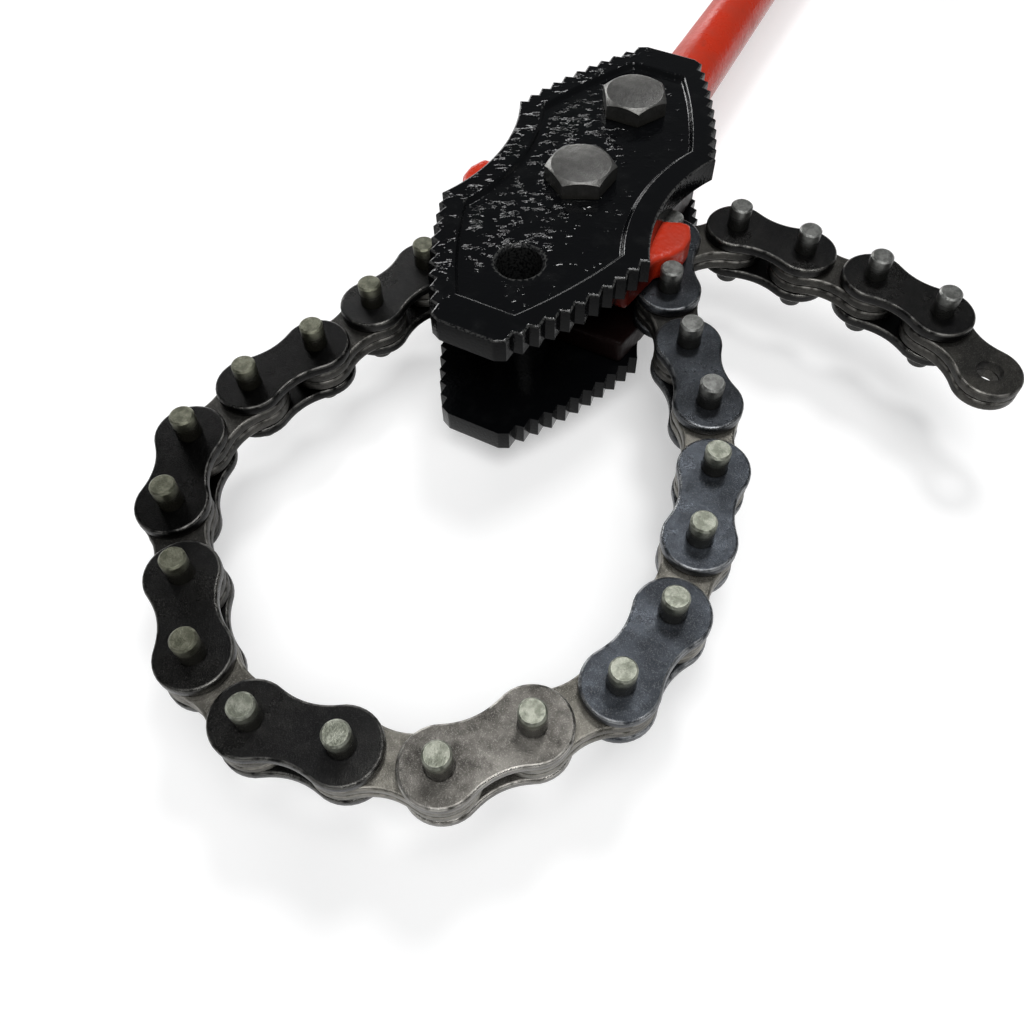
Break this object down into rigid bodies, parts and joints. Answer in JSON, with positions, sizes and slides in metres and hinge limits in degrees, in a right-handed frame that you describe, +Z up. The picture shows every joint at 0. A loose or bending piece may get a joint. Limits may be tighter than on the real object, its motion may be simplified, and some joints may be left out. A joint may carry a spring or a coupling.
{
  "type": "chain pipe wrench",
  "caption": "Double-ended chain pipe wrench: two toothed black jaws bolted to an orange forged handle, with a leaf chain whose standing pins hook behind a horn of the head.",
  "frame": {"origin": "centre of the lower end face of the centre bolt, on the surface that the tool lies on", "axes": "+X along the handle towards its end, +Y to the left seen from above with the handle pointing away, +Z up through the two bolts towards their heads"},
  "size_m": [1.2897, 0.2935, 0.0883],
  "materials": {
    "orange_paint": "gloss paint over forged steel",
    "black_paint": "wet-looking gloss black paint over rough forged steel",
    "bolt_steel": "dull zinc-grey steel, worn on the edges",
    "black_steel": "oiled black-oxide steel",
    "blasted_steel": "shot-blasted oily steel, brownish grey"
  },
  "bodies": {
    "frame": {"handle_head": "orange_paint", "handle_shank": "orange_paint", "upper_jaw": "black_paint", "lower_jaw": "black_paint", "centre_bolt": "bolt_steel", "centre_nut": "bolt_steel", "rear_bolt": "bolt_steel", "rear_nut": "bolt_steel"},
    "shackle": {"anchor_shackle": "black_steel", "anchor_pin": "bolt_steel"},
    "link_01": {"link_01_lower_plate": "blasted_steel", "link_01_upper_plate": "blasted_steel"},
    "link_02": {"link_02_pin_plate": "black_steel", "link_02_cap_plate": "black_steel"},
    "link_03": {"link_03_lower_plate": "blasted_steel", "link_03_upper_plate": "blasted_steel"},
    "link_04": {"link_04_pin_plate": "black_steel", "link_04_cap_plate": "black_steel"},
    "link_05": {"link_05_lower_plate": "blasted_steel", "link_05_upper_plate": "blasted_steel"},
    "link_06": {"link_06_pin_plate": "black_steel", "link_06_cap_plate": "black_steel"},
    "link_07": {"link_07_lower_plate": "blasted_steel", "link_07_upper_plate": "blasted_steel"},
    "link_08": {"link_08_pin_plate": "black_steel", "link_08_cap_plate": "black_steel"},
    "link_09": {"link_09_lower_plate": "blasted_steel", "link_09_upper_plate": "blasted_steel"},
    "link_10": {"link_10_pin_plate": "black_steel", "link_10_cap_plate": "black_steel"},
    "link_11": {"link_11_lower_plate": "blasted_steel", "link_11_upper_plate": "blasted_steel"},
    "link_12": {"link_12_pin_plate": "black_steel", "link_12_cap_plate": "black_steel"},
    "link_13": {"link_13_lower_plate": "blasted_steel", "link_13_upper_plate": "blasted_steel"},
    "link_14": {"link_14_pin_plate": "black_steel", "link_14_cap_plate": "black_steel"},
    "link_15": {"link_15_lower_plate": "blasted_steel", "link_15_upper_plate": "blasted_steel"},
    "link_16": {"link_16_pin_plate": "black_steel", "link_16_cap_plate": "black_steel"},
    "link_17": {"link_17_lower_plate": "blasted_steel", "link_17_upper_plate": "blasted_steel"},
    "link_18": {"link_18_pin_plate": "black_steel", "link_18_cap_plate": "black_steel"},
    "link_19": {"link_19_lower_plate": "blasted_steel", "link_19_upper_plate": "blasted_steel"},
    "link_20": {"link_20_pin_plate": "black_steel", "link_20_cap_plate": "black_steel"},
    "link_21": {"link_21_lower_plate": "blasted_steel", "link_21_upper_plate": "blasted_steel"},
    "link_22": {"link_22_pin_plate": "black_steel", "link_22_cap_plate": "black_steel"},
    "link_23": {"link_23_lower_plate": "blasted_steel", "link_23_upper_plate": "blasted_steel"},
    "link_24": {"link_24_pin_plate": "black_steel", "link_24_cap_plate": "black_steel"},
    "link_25": {"link_25_lower_plate": "blasted_steel", "link_25_upper_plate": "blasted_steel"}
  },
  "joints": [
    {"name": "shackle_swing", "type": "hinge", "parent": "frame", "child": "shackle", "pos_m": [0, 0, 0.0485], "axis": [0, 0, 1], "range_deg": [0, 1.6]},
    {"name": "link_01_turn", "type": "hinge", "parent": "shackle", "child": "link_01", "pos_m": [-0.02777, 0.03084, 0.0485], "axis": [0, 0, 1], "range_deg": [0, 1.6]},
    {"name": "link_02_turn", "type": "hinge", "parent": "link_01", "child": "link_02", "pos_m": [-0.05472, 0.04762, 0.0485], "axis": [0, 0, 1], "range_deg": [0, 1.6]},
    {"name": "link_03_turn", "type": "hinge", "parent": "link_02", "child": "link_03", "pos_m": [-0.0854, 0.05579, 0.0485], "axis": [0, 0, 1], "range_deg": [0, 1.6]},
    {"name": "link_04_turn", "type": "hinge", "parent": "link_03", "child": "link_04", "pos_m": [-0.11609, 0.06395, 0.0485], "axis": [0, 0, 1], "range_deg": [0, 1.6]},
    {"name": "link_05_turn", "type": "hinge", "parent": "link_04", "child": "link_05", "pos_m": [-0.14555, 0.07579, 0.0485], "axis": [0, 0, 1], "range_deg": [0, 1.6]},
    {"name": "link_06_turn", "type": "hinge", "parent": "link_05", "child": "link_06", "pos_m": [-0.17682, 0.08125, 0.0485], "axis": [0, 0, 1], "range_deg": [0, 1.6]},
    {"name": "link_07_turn", "type": "hinge", "parent": "link_06", "child": "link_07", "pos_m": [-0.20534, 0.06729, 0.0485], "axis": [0, 0, 1], "range_deg": [0, 1.6]},
    {"name": "link_08_turn", "type": "hinge", "parent": "link_07", "child": "link_08", "pos_m": [-0.22775, 0.0448, 0.0485], "axis": [0, 0, 1], "range_deg": [0, 1.6]},
    {"name": "link_09_turn", "type": "hinge", "parent": "link_08", "child": "link_09", "pos_m": [-0.25016, 0.02231, 0.0485], "axis": [0, 0, 1], "range_deg": [0, 3.2]},
    {"name": "link_10_turn", "type": "hinge", "parent": "link_09", "child": "link_10", "pos_m": [-0.25992, -0.0079, 0.0485], "axis": [0, 0, 1], "range_deg": [0, 3.2]},
    {"name": "link_11_turn", "type": "hinge", "parent": "link_10", "child": "link_11", "pos_m": [-0.25381, -0.03906, 0.0485], "axis": [0, 0, 1], "range_deg": [0, 3.2]},
    {"name": "link_12_turn", "type": "hinge", "parent": "link_11", "child": "link_12", "pos_m": [-0.24538, -0.06967, 0.0485], "axis": [0, 0, 1], "range_deg": [0, 3.2]},
    {"name": "link_13_turn", "type": "hinge", "parent": "link_12", "child": "link_13", "pos_m": [-0.22022, -0.08904, 0.0485], "axis": [0, 0, 1], "range_deg": [-16, 0]},
    {"name": "link_14_turn", "type": "hinge", "parent": "link_13", "child": "link_14", "pos_m": [-0.19489, -0.10819, 0.0485], "axis": [0, 0, 1], "range_deg": [-16, 0]},
    {"name": "link_15_turn", "type": "hinge", "parent": "link_14", "child": "link_15", "pos_m": [-0.16354, -0.11321, 0.0485], "axis": [0, 0, 1], "range_deg": [-16, 0]},
    {"name": "link_16_turn", "type": "hinge", "parent": "link_15", "child": "link_16", "pos_m": [-0.13191, -0.11049, 0.0485], "axis": [0, 0, 1], "range_deg": [-16, 0]},
    {"name": "link_17_turn", "type": "hinge", "parent": "link_16", "child": "link_17", "pos_m": [-0.10084, -0.10395, 0.0485], "axis": [0, 0, 1], "range_deg": [-16, 0]},
    {"name": "link_18_turn", "type": "hinge", "parent": "link_17", "child": "link_18", "pos_m": [-0.07205, -0.09058, 0.0485], "axis": [0, 0, 1], "range_deg": [-16, 0]},
    {"name": "link_19_turn", "type": "hinge", "parent": "link_18", "child": "link_19", "pos_m": [-0.04633, -0.07196, 0.0485], "axis": [0, 0, 1], "range_deg": [-16, 0]},
    {"name": "link_20_turn", "type": "hinge", "parent": "link_19", "child": "link_20", "pos_m": [-0.02094, -0.05289, 0.0485], "axis": [0, 0, 1], "range_deg": [-16, 0]},
    {"name": "link_21_turn", "type": "hinge", "parent": "link_20", "child": "link_21", "pos_m": [0.0085, -0.041, 0.0485], "axis": [0, 0, -1], "range_deg": [-40, 35]},
    {"name": "link_22_turn", "type": "hinge", "parent": "link_21", "child": "link_22", "pos_m": [0.02891, -0.06532, 0.0485], "axis": [0, 0, 1], "range_deg": [-45, 45]},
    {"name": "link_23_turn", "type": "hinge", "parent": "link_22", "child": "link_23", "pos_m": [0.02725, -0.09703, 0.0485], "axis": [0, 0, -1], "range_deg": [-45, 45]},
    {"name": "link_24_turn", "type": "hinge", "parent": "link_23", "child": "link_24", "pos_m": [0.02503, -0.1287, 0.0485], "axis": [0, 0, 1], "range_deg": [-45, 45]},
    {"name": "link_25_turn", "type": "hinge", "parent": "link_24", "child": "link_25", "pos_m": [0.01628, -0.15922, 0.0485], "axis": [0, 0, -1], "range_deg": [-45, 45]}
  ],
  "couplings": [
    {"joint": "shackle_swing", "follows": "link_16_turn", "ratio": -0.1},
    {"joint": "link_01_turn", "follows": "link_16_turn", "ratio": -0.1},
    {"joint": "link_02_turn", "follows": "link_16_turn", "ratio": -0.1},
    {"joint": "link_03_turn", "follows": "link_16_turn", "ratio": -0.1},
    {"joint": "link_04_turn", "follows": "link_16_turn", "ratio": -0.1},
    {"joint": "link_05_turn", "follows": "link_16_turn", "ratio": -0.1},
    {"joint": "link_06_turn", "follows": "link_16_turn", "ratio": -0.1},
    {"joint": "link_07_turn", "follows": "link_16_turn", "ratio": -0.1},
    {"joint": "link_08_turn", "follows": "link_16_turn", "ratio": -0.1},
    {"joint": "link_09_turn", "follows": "link_16_turn", "ratio": -0.2},
    {"joint": "link_10_turn", "follows": "link_16_turn", "ratio": -0.2},
    {"joint": "link_11_turn", "follows": "link_16_turn", "ratio": -0.2},
    {"joint": "link_12_turn", "follows": "link_16_turn", "ratio": -0.2},
    {"joint": "link_13_turn", "follows": "link_16_turn", "ratio": 1},
    {"joint": "link_14_turn", "follows": "link_16_turn", "ratio": 1},
    {"joint": "link_15_turn", "follows": "link_16_turn", "ratio": 1},
    {"joint": "link_17_turn", "follows": "link_16_turn", "ratio": 1},
    {"joint": "link_18_turn", "follows": "link_16_turn", "ratio": 1},
    {"joint": "link_19_turn", "follows": "link_16_turn", "ratio": 1},
    {"joint": "link_20_turn", "follows": "link_16_turn", "ratio": 1}
  ]
}
